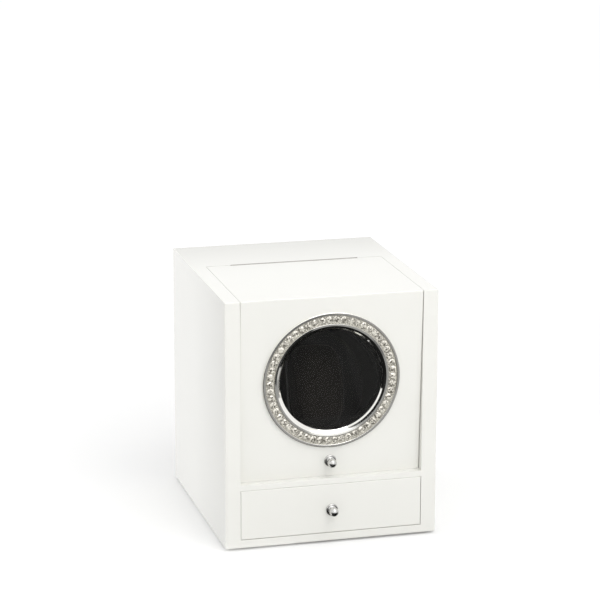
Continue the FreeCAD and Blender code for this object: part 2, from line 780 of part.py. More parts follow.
def oval(half_tall, half_deep, end_radius, across):
    """A wire of four tangent arcs: two wide ones in front and behind, two tight ones at the ends."""
    reach = half_tall - end_radius
    wide = (reach**2 + half_deep**2 - end_radius**2) / (2 * (half_deep - end_radius))
    meet = Vector(reach, wide - half_deep, 0) * (end_radius / (wide - end_radius)) + Vector(reach, 0, 0)
    ends = [(meet.x, meet.y), (meet.x, -meet.y), (-meet.x, -meet.y), (-meet.x, meet.y)]
    middles = [(half_tall, 0), (0, -half_deep), (-half_tall, 0), (0, half_deep)]
    arcs = []
    for index, (up, out) in enumerate(ends):
        middle = Vector(across, *middles[index])
        after = Vector(across, *ends[(index + 1) % len(ends)])
        arcs.append(Part.Arc(Vector(across, up, out), middle, after).toShape())
    return Part.Wire(arcs)


# Cushion: an oval pillow, fullest in the middle and drawn in towards its stitched ends
HALF_TALL = SIZES["cushion_tall"] / 2
HALF_DEEP = SIZES["cushion_deep"] / 2
HALF_WIDE = SIZES["cushion_width"] / 2
END_RADIUS = SIZES["cushion_end_radius"]
DRAWN_IN = ((-1.0, 5.0), (-0.86, 1.6), (-0.5, 0.4), (0.0, 0.0), (0.5, 0.4), (0.86, 1.6), (1.0, 5.0))
sections = [
    oval(HALF_TALL - pull, HALF_DEEP - pull, END_RADIUS - pull / 2, HALF_WIDE * part)
    for part, pull in DRAWN_IN
]
cushion = doc.addObject("Part::Feature", "cushion")
pillow = Part.makeLoft(sections, True, False)
pillow.translate(Vector(0, 0, SIZES["cushion_proud"] - HALF_DEEP))
cushion.Shape = pillow
done(in_drum(group(cushion)), "watch_cushion")

done(in_drum(group(rod("shaft_radius", "-shaft_end", "-cup_depth"))), "rotor_shaft")


def pulley(bore, rim):
    """A flanged pulley for a flat belt."""
    return turned(
        [
            (f"{bore} + fit_gap", "-pulley_start"),
            (f"{rim} + pulley_flange_height", "-pulley_start"),
            (f"{rim} + pulley_flange_height", "-pulley_start - pulley_flange"),
            (rim, "-pulley_start - pulley_flange"),
            (rim, f"pulley_flange - {PULLEY_END}"),
            (f"{rim} + pulley_flange_height", f"pulley_flange - {PULLEY_END}"),
            (f"{rim} + pulley_flange_height", f"-{PULLEY_END}"),
            (f"{bore} + fit_gap", f"-{PULLEY_END}"),
        ]
    )


done(in_drum(pulley("shaft_radius", "rotor_pulley_radius")), "rotor_pulley")
motor_pulley = pulley("motor_shaft_radius", "motor_pulley_radius")
place(motor_pulley, "motor_offset")
done(in_drum(group(motor_pulley)), "motor_pulley")
MOTOR_SHAFT_END = f"({GEARBOX_END} - plate_thickness)"
motor_shaft = rod("motor_shaft_radius", f"-{MOTOR_SHAFT_END}", "overcut - pulley_start", "motor_offset")
done(in_drum(group(motor_shaft)), "motor_shaft")


def belt_loop(room, start, end):
    """The filled outline of the belt round both pulleys, a distance outside their rims."""
    large = f"(rotor_pulley_radius + {room})"
    small = f"(motor_pulley_radius + {room})"
    lean = "((rotor_pulley_radius - motor_pulley_radius) / motor_offset)"
    rise = f"sqrt(1 - {lean}^2)"
    run = doc.addObject("PartDesign::Body", "run")
    pad = run.newObject("PartDesign::Pad", "pad")
    outline = [
        (f"{large} * {lean}", f"{large} * {rise}"),
        (f"{large} * {lean}", f"-{large} * {rise}"),
        (f"motor_offset + {small} * {lean}", f"-{small} * {rise}"),
        (f"motor_offset + {small} * {lean}", f"{small} * {rise}"),
    ]
    pad.Profile = sketch_on(run, "XY_Plane", outline)
    bind(pad, Length=f"{end} - ({start})")
    place(run, "0", "0", start)
    return join(rod(large, start, end), rod(small, start, end, "motor_offset"), run)


BELT_MIDDLE = "(pulley_start + pulley_width / 2)"
BELT_EDGES = (f"-{BELT_MIDDLE} - belt_width / 2", f"belt_width / 2 - {BELT_MIDDLE}")
belt_outside = belt_loop("(belt_gap + belt_thickness)", *BELT_EDGES)
belt_inside = belt_loop("belt_gap", f"{BELT_EDGES[0]} - overcut", f"{BELT_EDGES[1]} + overcut")
done(in_drum(cut(belt_outside, belt_inside)), "drive_belt")

# Mechanism plate behind the drum, on posts from the fascia, with the bearing and the motor
plate = block(("-plate_left", "plate_right"), both("plate_half_height"), (f"-{PLATE_REAR}", "-plate_front"))
through_plate = (f"-{PLATE_REAR} - overcut", "overcut - plate_front")
bearing_hole = rod("housing_radius + fit_gap", *through_plate)
motor_hole = rod("motor_boss_radius", *through_plate, "motor_offset")


def motor_screws(room, head):
    """The two screws that hold the gearbox, from the front of the plate, with a little room if cut."""
    several = []
    tip = f"-plate_front - motor_screw_length - {room}"
    top = "motor_screw_head - plate_front"
    for y in both("motor_screw_spread"):
        shank = rod(f"motor_screw_radius + {room}", tip, "-plate_front", "motor_offset", y)
        cap = rod("motor_screw_head_radius", "-plate_front", top, "motor_offset", y)
        several.append(join(shank, cap) if head else shank)
    return group(*several)


done(in_drum(cut(plate, bearing_hole, motor_hole, motor_screws("fit_gap", False))), "mechanism_plate")
posts = []
for x in both("standoff_across"):
    for y in both("standoff_up"):
        posts.append(rod("standoff_radius", "-plate_front", "-fascia_thickness", x, y))
done(in_drum(group(*posts)), "plate_standoffs")
HOUSING_END = "(housing_front + housing_length)"
housing = turned(
    [
        ("housing_bore + fit_gap", "-housing_front"),
        ("housing_radius", "-housing_front"),
        ("housing_radius", f"-{PLATE_REAR}"),
        ("housing_flange_radius", f"-{PLATE_REAR}"),
        ("housing_flange_radius", f"-{PLATE_REAR} - housing_flange"),
        ("housing_radius", f"-{PLATE_REAR} - housing_flange"),
        ("housing_radius", f"-{HOUSING_END}"),
        ("housing_bore + fit_gap", f"-{HOUSING_END}"),
    ]
)
done(in_drum(housing), "bearing_housing")
bushes = []
for start in ("-housing_front - bush_length", f"-{HOUSING_END}"):
    end = f"{start} + bush_length"
    bore = rod("shaft_radius + running_gap", f"{start} - overcut", f"{end} + overcut")
    bushes.append(cut(rod("housing_bore", start, end), bore))
done(in_drum(group(*bushes)), "rotor_bushes")
collar = turned(
    rectangle(
        ("shaft_radius + fit_gap", "collar_radius"),
        (f"-{HOUSING_END} - collar_room - collar_length", f"-{HOUSING_END} - collar_room"),
    )
)
done(in_drum(collar), "shaft_collar")

gearbox = rod("gearbox_radius", f"-{GEARBOX_END}", f"-{PLATE_REAR}", "motor_offset")
shaft_bore = rod("motor_shaft_radius + running_gap", f"-{MOTOR_SHAFT_END} - overcut", "0", "motor_offset")
done(in_drum(cut(gearbox, shaft_bore, motor_screws("fit_gap", False))), "motor_gearbox")
MOTOR_END = f"({GEARBOX_END} + motor_length)"
done(in_drum(group(rod("motor_radius", f"-{MOTOR_END}", f"-{GEARBOX_END}", "motor_offset"))), "motor_can")
done(in_drum(motor_screws("0", True)), "motor_screws")

# Control board on spacers inside the back, and the lead from it to the motor
BOARD_REAR = f"({BACK_INSIDE} - board_setback + board_thickness)"
BOARD_FRONT = f"({BACK_INSIDE} - board_setback)"
chip = behind_plate("0", "chip_half", "chip_half", (f"{BOARD_FRONT} - chip_height", BOARD_FRONT))
board = behind_plate("0", "board_half_width", "board_half_height", (BOARD_FRONT, BOARD_REAR))
done(join(board, chip), "control_board")
spacers = []
for x in both("spacer_across"):
    for y in both("spacer_up"):
        spacers.append(rod("spacer_radius", "0", f"{BACK_INSIDE} - {BOARD_REAR}", x, y))
spacer_group = group(*spacers)
place(spacer_group, "0", BOARD_REAR, CONTROL_Z, "-90")
done(spacer_group, "board_spacers")


def tube_along(points, radius):
    """A tube along straight runs joined by tangent arcs, each as large as its two runs allow."""
    share = 0.45
    edges = []
    reached = points[0]
    for before, corner, after in zip(points, points[1:], points[2:]):
        inward = (before - corner).normalize()
        onward = (after - corner).normalize()
        setback = share * min((before - corner).Length, (after - corner).Length)
        half_turn = (math.pi - inward.getAngle(onward)) / 2
        bend = setback / math.tan(half_turn)
        bisector = (inward + onward).normalize()
        nearest = corner + bisector * (math.hypot(bend, setback) - bend)
        arc_start = corner + inward * setback
        arc_end = corner + onward * setback
        edges.append(Part.LineSegment(reached, arc_start).toShape())
        edges.append(Part.Arc(arc_start, nearest, arc_end).toShape())
        reached = arc_end
    edges.append(Part.LineSegment(reached, points[-1]).toShape())
    ring = Part.Wire([Part.Circle(points[0], points[1] - points[0], radius).toShape()])
    return Part.Wire(edges).makePipeShell([ring], True, True)


drum_lean = math.radians(SIZES["drum_tilt"])
rearward = Vector(0, math.cos(drum_lean), -math.sin(drum_lean))
motor_rear = Vector(SIZES["motor_offset"], number(DRUM_Y), number(DRUM_Z)) + rearward * number(MOTOR_END)
board_end = Vector(SIZES["lead_across"], number(BOARD_FRONT), number(CONTROL_Z))
lead = doc.addObject("Part::Feature", "lead")
lead_route = [
    motor_rear,
    motor_rear + rearward * SIZES["lead_run"],
    board_end - Vector(0, SIZES["lead_run"], 0),
    board_end,
]
lead.Shape = tube_along(lead_route, SIZES["lead_radius"])
done(lead, "motor_lead")

# Controls: a plate on the back with a power rocker, a program knob and a power inlet
PLATE_HALVES = ("control_plate_half_width", "control_plate_half_height")
plate_back = behind_plate("0", *PLATE_HALVES, (BACK_FACE, PLATE_FACE))
THROUGH_PLATE = (f"{BACK_FACE} - overcut", f"{PLATE_FACE} + overcut")
HOLE_HALF_X = f"{FRAME_HALF_X} + fit_gap"
HOLE_HALF_Z = f"{FRAME_HALF_Z} + fit_gap"
rocker_hole = behind_plate("rocker_across", HOLE_HALF_X, HOLE_HALF_Z, THROUGH_PLATE)
HOLE_DEPTH = ("-control_plate_thickness - overcut", "overcut")
selector_hole = on_back(group(rod("selector_bushing_radius + fit_gap", *HOLE_DEPTH)), "selector_across")
jack_hole = on_back(group(rod("jack_barrel_radius + fit_gap", *HOLE_DEPTH)), "jack_across")
screw_holes = at_plate_screws(plate_screw_hole)
done(cut(plate_back, rocker_hole, selector_hole, jack_hole, screw_holes), "control_plate")

FRAME_BACK = f"{PLATE_FACE} - rocker_housing_deep"
FRAME_LIP = f"{PLATE_FACE} + housing_lip"
LIP_HALF_X = f"{FRAME_HALF_X} + housing_lip_width"
LIP_HALF_Z = f"{FRAME_HALF_Z} + housing_lip_width"
rocker_frame = join(
    behind_plate("rocker_across", FRAME_HALF_X, FRAME_HALF_Z, (FRAME_BACK, PLATE_FACE)),
    behind_plate("rocker_across", LIP_HALF_X, LIP_HALF_Z, (PLATE_FACE, FRAME_LIP)),
)
rocker_well = behind_plate(
    "rocker_across",
    f"{FRAME_HALF_X} - housing_wall",
    f"{FRAME_HALF_Z} - housing_wall",
    (f"{FRAME_BACK} + housing_wall", f"{FRAME_LIP} + overcut"),
)
rocker_bore = bar_along_x(
    "rocker_pin_radius + running_gap",
    f"rocker_across - {FRAME_HALF_X} - overcut",
    f"rocker_across + {FRAME_HALF_X} + overcut",
    PLATE_FACE,
    CONTROL_Z,
)
done(cut(rocker_frame, rocker_well, rocker_bore), "rocker_housing")

rocker = doc.addObject("PartDesign::Body", "rocker")
rocker_pad = rocker.newObject("PartDesign::Pad", "pad")
rocker_outline = [
    ("-rocker_deep", "-rocker_half_height"),
    ("rocker_proud", "-rocker_half_height"),
    ("rocker_proud - rocker_half_height * tan(rocker_tilt)", "0"),
    ("rocker_proud", "rocker_half_height"),
    ("-rocker_deep", "rocker_half_height"),
]
rocker_pad.Profile = sketch_on(rocker, "YZ_Plane", rocker_outline)
rocker_pad.Midplane = True
bind(rocker_pad, Length="2 * rocker_half_width")
ROCKER_PIN_HALF = "rocker_half_width + rocker_side_gap + housing_wall / 2"
rocker_pin = bar_along_x("rocker_pin_radius", *both(ROCKER_PIN_HALF), "0", "0")
rocker_whole = join(rocker, rocker_pin)
place(rocker_whole, "rocker_across", PLATE_FACE, CONTROL_Z, "rocker_tilt")
done(rocker_whole, "power_rocker")

selector_depth = ("-control_plate_thickness - selector_deep", "-control_plate_thickness")
selector_box = block(both("selector_half"), both("selector_half"), selector_depth)
bushing = rod("selector_bushing_radius", "-control_plate_thickness - overcut", "selector_nut")
selector_nut = rod("selector_nut_radius", "0", "selector_nut")
SELECTOR_BORE = ("-selector_shaft_length - overcut", "selector_nut + overcut")
selector_bore = rod("selector_shaft_radius + running_gap", *SELECTOR_BORE)
selector_switch = cut(join(selector_box, bushing, selector_nut), selector_bore)
done(on_back(selector_switch, "selector_across"), "selector_switch")
KNOB_END = f"({BACK} + knob_ball_reach + knob_ball_radius - {PLATE_FACE})"
KNOB_START = "(selector_nut + selector_knob_gap)"
selector_knob = turned(
    [
        ("0", "-selector_shaft_length"),
        ("selector_shaft_radius", "-selector_shaft_length"),
        ("selector_shaft_radius", KNOB_START),
        ("selector_knob_radius", KNOB_START),
        ("selector_knob_radius", f"{KNOB_END} - edge_round"),
        ("selector_knob_radius - edge_round", KNOB_END),
        ("0", KNOB_END),
    ]
)
pointer_height = (f"{KNOB_END} - pointer_depth", f"{KNOB_END} + overcut")
pointer_length = ("-selector_knob_radius - overcut", "-pointer_width")
pointer = block(both("pointer_width / 2"), pointer_length, pointer_height)
done(on_back(cut(selector_knob, pointer), "selector_across"), "selector_knob")

jack_depth = ("-control_plate_thickness - jack_deep", "-control_plate_thickness")
jack_box = block(both("jack_half"), both("jack_half"), jack_depth)
jack_barrel = rod("jack_barrel_radius", "-control_plate_thickness - overcut", "jack_flange")
jack_flange = rod("jack_flange_radius", "0", "jack_flange")
jack_bore = rod("jack_bore", "jack_flange - jack_bore_depth", "jack_flange + overcut")
JACK_FLOOR = "jack_flange - jack_bore_depth"
jack_pin = rod("jack_pin_radius", f"{JACK_FLOOR} - overcut", "jack_flange - jack_pin_radius")
jack = join(cut(join(jack_box, jack_barrel, jack_flange), jack_bore), jack_pin)
done(on_back(jack, "jack_across"), "dc_jack")

# Check the whole model, then write one file for each piece
doc.recompute()
for item in doc.Objects:
    if {"Invalid", "Error"} & set(item.State):
        raise RuntimeError(f"{item.Label} failed: {item.State}")
for item in finished:
    if item.Shape.isNull() or not item.Shape.isValid() or not item.Shape.Solids:
        raise RuntimeError(f"{item.Label} has no sound solid")
os.makedirs("parts", exist_ok=True)
for item in finished:
    item.Shape.exportStep(f"parts/{item.Label}.step")
print(len(finished), "pieces")
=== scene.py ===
import math

import bmesh
import bpy
import numpy as np
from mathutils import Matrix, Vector
from mathutils.bvhtree import BVHTree


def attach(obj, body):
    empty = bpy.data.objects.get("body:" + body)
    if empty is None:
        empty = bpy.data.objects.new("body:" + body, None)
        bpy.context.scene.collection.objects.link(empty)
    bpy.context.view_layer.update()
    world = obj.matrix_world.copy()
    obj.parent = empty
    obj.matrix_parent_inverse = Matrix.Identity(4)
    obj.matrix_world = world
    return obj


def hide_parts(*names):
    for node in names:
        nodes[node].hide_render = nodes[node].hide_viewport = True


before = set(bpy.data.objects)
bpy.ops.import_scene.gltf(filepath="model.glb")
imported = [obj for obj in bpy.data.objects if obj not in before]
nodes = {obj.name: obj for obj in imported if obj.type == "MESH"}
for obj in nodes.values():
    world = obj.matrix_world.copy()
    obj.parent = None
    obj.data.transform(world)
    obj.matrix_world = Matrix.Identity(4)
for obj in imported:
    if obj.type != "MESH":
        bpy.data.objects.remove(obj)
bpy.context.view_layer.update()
scene = bpy.context.scene

# Camera
# The view of the photograph: a long lens, a little above the box and to its left.
camera_data = bpy.data.cameras.new("camera")
camera_data.lens = 149.3
camera = bpy.data.objects.new("camera", camera_data)
camera.location = (-0.5436, -2.0289, 0.7334)
camera.rotation_euler = [math.radians(turn) for turn in (75.4507, -0.1326, -14.9311)]
scene.collection.objects.link(camera)
scene.camera = camera


# Lacquered boards
# Side walls, top, base, shelf, back, lid and drawer front: boards sprayed with warm white lacquer and
# polished, glued at their edges. The gloss is a clear coat over a tone that clouds a little.
class Socket:
    """One value in a material: sums written in Python become Math nodes, and node() adds any other."""

    def __init__(self, tree, output=None):
        self.tree = tree
        self.output = output

    def node(self, kind, settings=(), inputs=(), output=0):
        """Adds a node: its settings first, then each input as a value or as a link."""
        made = self.tree.nodes.new(kind)
        for name, value in dict(settings).items():
            setattr(made, name, value)
        for name, value in dict(inputs).items():
            if isinstance(value, Socket):
                self.tree.links.new(value.output, made.inputs[name])
            else:
                made.inputs[name].default_value = value
        return Socket(self.tree, made.outputs[output])

    def sum(self, operation, first, second):
        """A Math node of two values or links."""
        return self.node("ShaderNodeMath", {"operation": operation}, {0: first, 1: second})

    def __add__(self, other):
        return self.sum("ADD", self, other)

    def __radd__(self, other):
        return self.sum("ADD", other, self)

    def __sub__(self, other):
        return self.sum("SUBTRACT", self, other)

    def __rsub__(self, other):
        return self.sum("SUBTRACT", other, self)

    def __mul__(self, other):
        return self.sum("MULTIPLY", self, other)

    def __rmul__(self, other):
        return self.sum("MULTIPLY", other, self)


def noise(start, scale, detail=2.0, stretch=(1.0, 1.0, 1.0)):
    """Cloudy noise from 0 to 1 over the object, its grain stretched along the smaller factors."""
    place = start.node("ShaderNodeTexCoord", output="Object")
    drawn = start.node("ShaderNodeVectorMath", {"operation": "MULTIPLY"}, {0: place, 1: stretch})
    return start.node("ShaderNodeTexNoise", inputs={"Vector": drawn, "Scale": scale, "Detail": detail})


def mixed(factor, first, second):
    """A colour between two, each written out or made by nodes, by a factor from 0 to 1."""
    ends = [end if isinstance(end, Socket) else (*end, 1.0) for end in (first, second)]
    return factor.node("ShaderNodeMix", {"data_type": "RGBA"}, {0: factor, 6: ends[0], 7: ends[1]}, 2)


def bump(height, depth):
    """A normal that follows a height from 0 to 1, this many metres deep."""
    return height.node("ShaderNodeBump", inputs={"Height": height, "Distance": depth})


def material(name, look, **constants):
    """A material: fixed values go on its shader's own sockets, and look() gives the varying ones."""
    made = bpy.data.materials.new(name)
    made.use_nodes = True
    shader = made.node_tree.nodes["Principled BSDF"]
    for socket, value in constants.items():
        shader.inputs[socket.replace("_", " ")].default_value = value
    for socket, value in look(Socket(made.node_tree)).items():
        made.node_tree.links.new(value.output, shader.inputs[socket])
    return made


def dress(made, *names):
    """Gives a material to CAD pieces."""
    for name in names:
        nodes[name].material_slots[0].material = made


def lacquer_look(start):
    """A tone that clouds a little, and the faint orange peel of sprayed lacquer."""
    cloud = noise(start, 14.0, 3.0)
    peel = noise(start, 420.0, 1.0)
    return {
        "Base Color": mixed(cloud, (0.855, 0.850, 0.805), (0.885, 0.882, 0.838)),
        "Roughness": 0.34 + 0.08 * cloud,
        "Normal": bump(peel, 0.000004),
    }


lacquer = material("white_lacquer", lacquer_look, Coat_Weight=1.0, Coat_Roughness=0.03, Coat_IOR=1.45)
dress(
    lacquer, "left_side_panel", "right_side_panel", "base_panel", "middle_shelf", "top_rear_panel",
    "back_panel", "lid_top_panel", "lid_front_panel", "drawer_front",
)


# Feet
# Four round pads of grey felt, glued under the base.
def felt_look(start):
    """Matted fibres, lighter and darker."""
    fibre = noise(start, 900.0, 4.0)
    return {
        "Base Color": mixed(fibre, (0.10, 0.10, 0.10), (0.24, 0.24, 0.235)),
        "Normal": bump(fibre, 0.0004),
    }


dress(material("grey_felt", felt_look, Roughness=1.0, Sheen_Weight=0.3), "feet")


# Hinge, lid catch and screws
# Rolled steel leaves on a pin, let into the boards and screwed, with a strike plate and a magnet.
def steel_look(start):
    """Brushed steel: fine lines along X in tone, gloss and height."""
    line = noise(start, 2500.0, 2.0, (0.03, 1.0, 1.0))
    return {
        "Base Color": mixed(line, (0.50, 0.495, 0.48), (0.66, 0.655, 0.64)),
        "Roughness": 0.26 + 0.16 * line,
        "Normal": bump(line, 0.00001),
    }


def grey_nickel_look(start):
    """Nickel plate of a warm darker grey, with lighter patches at random."""
    rubbed = noise(start, 350.0, 3.0)
    return {
        "Base Color": mixed(rubbed, (0.29, 0.28, 0.262), (0.42, 0.407, 0.385)),
        "Roughness": 0.35 + 0.2 * rubbed,
    }


steel = material("steel", steel_look, Metallic=1.0)
grey_nickel = material("grey_nickel", grey_nickel_look, Metallic=0.8)
dress(
    grey_nickel, "lid_hinge_leaf", "cabinet_hinge_leaf", "hinge_pin", "lid_hinge_screws",
    "cabinet_hinge_screws",
)
dress(steel, "lid_strike", "lid_magnet", "bezel_nut", "lid_knob_screw", "drawer_knob_screw")


# Window bezel
# A turned and chromed ring set into the lid: a rounded rim, a channel for the stones, an inner ring and a
# cone in two slopes down to the glass, with a sleeve behind it that the nut holds. The channel's floor is
# made rougher and less metallic, and its grey-beige is painted shade for the gaps between the stones. The
# corners of the outline are (radius, height, rounding) in millimetres.
LID_LEAN = math.radians(2.53)
LID_AXES = np.array([
    (1.0, 0.0, 0.0),
    (0.0, -math.sin(LID_LEAN), math.cos(LID_LEAN)),
    (0.0, -math.cos(LID_LEAN), -math.sin(LID_LEAN)),
])
LID_TOP_FRONT = (-0.101, 0.217)
WINDOW_HEIGHT = 0.1435
BEZEL_CORNERS = [
    (46.6, -15.5, 0.2), (48.6, -15.5, 0.2), (48.6, 0.0, 0.0), (59.7, 0.0, 0.0), (59.7, 2.1, 0.6),
    (57.2, 2.1, 0.5), (57.0, 0.9, 0.1), (50.0, 0.9, 0.1), (49.8, 2.1, 0.3), (47.9, 1.75, 0.15),
    (46.0, 0.9, 0.2), (44.55, -0.3, 0.1), (46.6, -0.3, 0.0),
]
CHANNEL_INNER, CHANNEL_OUTER = 0.0500, 0.0570
CHANNEL_LOW, CHANNEL_HIGH = 0.0005, 0.0012
BEZEL_TURNS = 240
MILLIMETRE = 0.001


def lid_face(height):
    """The point on the lid's leaning front face, in its middle, at a height."""
    front, top = LID_TOP_FRONT
    return np.array([0.0, front + (top - height) * math.tan(LID_LEAN), height])


def rounded(corners, closed=True, steps=5, hold=0.03):
    """An outline through (across, up, radius) corners: each corner with a radius becomes an arc, with one
    more point just before and after it, so that shading keeps the straight stretches straight."""
    spots = [np.array(corner[:2], float) for corner in corners]
    outline = []
    for index, (_, _, radius) in enumerate(corners):
        corner = spots[index]
        at_end = not closed and index in (0, len(corners) - 1)
        if radius == 0 or at_end:
            outline.append(corner[None])
            continue
        before = spots[index - 1] - corner
        after = spots[(index + 1) % len(spots)] - corner
        before /= np.linalg.norm(before)
        after /= np.linalg.norm(after)
        half = math.acos(before @ after) / 2
        first = before * radius / math.tan(half)
        last = after * radius / math.tan(half)
        middle = (before + after) / np.linalg.norm(before + after) * radius / math.sin(half)
        sweep = math.pi - 2 * half
        share = np.linspace(0, 1, steps)[:, None]
        spoke = np.sin((1 - share) * sweep) * (first - middle) + np.sin(share * sweep) * (last - middle)
        arc = corner + middle + spoke / math.sin(sweep)
        outline.append(np.concatenate([arc[:1] + hold * before, arc, arc[-1:] + hold * after]))
    return np.concatenate(outline)


def turned(outline, turns):
    """A turned surface, [outline, turn, xyz]: (radius, height) goes to radius times the cosine and sine
    of the turn, and the height stays."""
    turn = np.linspace(0, 2 * np.pi, turns, endpoint=False)
    radius, height = outline[:, :1], outline[:, 1:]
    return np.stack([radius * np.cos(turn), radius * np.sin(turn), height + 0 * turn], axis=2)


def cells(rows, columns, row_loop, column_loop):
    """The four corner numbers of each cell of a grid of points; a loop joins its last side to its first."""
    number = np.arange(rows * columns).reshape(rows, columns)
    if row_loop:
        number = np.concatenate([number, number[:1]])
    if column_loop:
        number = np.concatenate([number, number[:, :1]], axis=1)
    corners = [number[:-1, :-1], number[:-1, 1:], number[1:, 1:], number[1:, :-1]]
    return np.stack(corners, axis=2).reshape(-1, 4)


def solid(name, points, faces, made, sharp=None):
    """A closed piece from points and faces: poles and seams merged, faces turned outward. Edges over the
    sharp angle, in degrees, stay sharp; with none given, all faces are flat."""
    mesh = bpy.data.meshes.new(name)
    corner_lists = faces if isinstance(faces, list) else faces.tolist()
    mesh.from_pydata(points.reshape(-1, 3).tolist(), [], corner_lists)
    work = bmesh.new()
    work.from_mesh(mesh)
    bmesh.ops.remove_doubles(work, verts=work.verts, dist=1e-7)
    bmesh.ops.recalc_face_normals(work, faces=work.faces)
    work.to_mesh(mesh)
    work.free()
    if sharp is None:
        mesh.shade_flat()
    else:
        mesh.shade_smooth()
        mesh.set_sharp_from_angle(angle=math.radians(sharp))
    mesh.materials.append(made)
    piece = bpy.data.objects.new(name, mesh)
    scene.collection.objects.link(piece)
    return piece


def places(mesh):
    """The points of a mesh as an array."""
    flat = np.empty(3 * len(mesh.vertices), np.float32)
    mesh.vertices.foreach_get("co", flat)
    return flat.reshape(-1, 3)


def stands_for(piece, body, slot, *names):
    """Shows a piece in place of CAD nodes, on their body. The slot is not used."""
    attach(piece, body)
    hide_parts(*names)


def chrome_look(start):
    """Bright plating with faint polishing haze."""
    haze = noise(start, 60.0, 3.0)
    return {
        "Base Color": mixed(haze, (0.865, 0.855, 0.81), (0.935, 0.925, 0.875)),
        "Roughness": 0.03 + 0.07 * haze,
    }


def bezel_look(start):
    """The same plating, rougher and less metallic on the channel's floor, whose grey-beige is painted shade
    for the gaps between the stones.
    """
    looks = chrome_look(start)
    gap_shade = start.node("ShaderNodeAttribute", {"attribute_name": "gap_shade"}, output="Fac")
    looks["Base Color"] = mixed(gap_shade, looks["Base Color"], (0.66, 0.63, 0.56))
    looks["Roughness"] = looks["Roughness"] + 0.4 * gap_shade
    looks["Metallic"] = 1.0 - 0.7 * gap_shade
    return looks


bezel_chrome = material("bezel_chrome", bezel_look)
window_middle = lid_face(WINDOW_HEIGHT)
bezel_points = turned(rounded(BEZEL_CORNERS) * MILLIMETRE, BEZEL_TURNS)
bezel_cells = cells(*bezel_points.shape[:2], True, True)
bezel = solid("bezel_ring", window_middle + bezel_points @ LID_AXES, bezel_cells, bezel_chrome, sharp=35)
on_face = (places(bezel.data) - window_middle) @ LID_AXES.T
from_axis = np.hypot(on_face[:, 0], on_face[:, 1])
# The channel's floor, which takes the painted shade between the stones.
in_channel = (from_axis > CHANNEL_INNER) & (from_axis < CHANNEL_OUTER)
in_channel &= (on_face[:, 2] > CHANNEL_LOW) & (on_face[:, 2] < CHANNEL_HIGH)
gap_shade = bezel.data.attributes.new("gap_shade", "FLOAT", "POINT")
gap_shade.data.foreach_set("value", in_channel.astype(np.float32))
stands_for(bezel, "lid", "chrome", "window_bezel")

# Stones
# One row of 54 round brilliants of clear glass with silvered backs, set side by side in the channel, with
# small beads of metal raised in the gaps to hold them. Each stone is turned and tipped a little, and each
# facet is painted its own brightness, lighter near the edge: painted reflection, for the light and dark
# that the cut throws back.
STONE_COUNT = 54
STONE_RING = 0.0535
STONE_GIRDLE = 0.0015
STONE_RADIUS = 0.00309
STONE_STRETCH = 1.08
STONE_CROWN = 0.0009
STONE_PAVILION = 0.00055
TABLE_SHARE, CROWN_SHARE, FOOT_SHARE = 0.55, 0.80, 0.50
CROWN_RISE = 0.62
STONE_SEED = 54
TIP_SPREAD = 0.035
SPARKLE_SPREAD = 0.35
EDGE_LIFT = 0.2
BEAD_RADIUS, BEAD_LOW, BEAD_TOP = 0.00075, 0.0009, 0.0022
BEAD_OFFSET = 0.0027
BEAD_STEPS, BEAD_TURNS = 5, 8


def brilliant():
    """The points and faces of one stone, girdle at height 0: a table of eight corners, in eight parts that
    stand for the back facets seen through it, eight crown points between them, sixteen on the girdle, and
    a blunt foot."""
    eighth = np.arange(8) * np.pi / 4
    sixteenth = np.arange(16) * np.pi / 8

    def ring(radius, turn, height):
        """Points round the axis at a radius and a height."""
        return np.stack([radius * np.cos(turn), radius * np.sin(turn), 0 * turn + height], axis=1)

    points = np.concatenate([
        ring(TABLE_SHARE * STONE_RADIUS, eighth + np.pi / 8, STONE_CROWN),
        ring(CROWN_SHARE * STONE_RADIUS, eighth, CROWN_RISE * STONE_CROWN),
        ring(STONE_RADIUS, sixteenth, 0.0),
        ring(FOOT_SHARE * STONE_RADIUS, sixteenth, -STONE_PAVILION),
        [(0.0, 0.0, STONE_CROWN)],
    ])
    table, crown, girdle, foot, middle = 0, 8, 16, 32, 48
    faces = [tuple(range(foot + 15, foot - 1, -1))]
    for turn in range(8):
        after = (turn + 1) % 8
        even = girdle + 2 * turn
        odd = even + 1
        back = girdle + (2 * turn - 1) % 16
        faces.append((middle, table + turn, table + after))
        faces.append((table + (turn - 1) % 8, crown + turn, table + turn))
        faces.append((table + turn, crown + turn, odd, crown + after))
        faces.append((crown + turn, even, odd))
        faces.append((crown + turn, back, even))
    for turn in range(16):
        after = (turn + 1) % 16
        faces.append((girdle + turn, foot + turn, foot + after, girdle + after))
    return points, faces


def stone_look(start):
    """Each facet is painted its own brightness, from smoky through silver to white: painted reflection, for
    the light and dark that cut glass over foil throws back.
    """
    tone = start.node("ShaderNodeAttribute", {"attribute_name": "painted_sparkle"}, output="Fac")
    return {
        "Base Color": mixed(tone, (0.10, 0.09, 0.07), (0.97, 0.935, 0.83)),
        "Roughness": 0.05 + 0.10 * tone,
    }


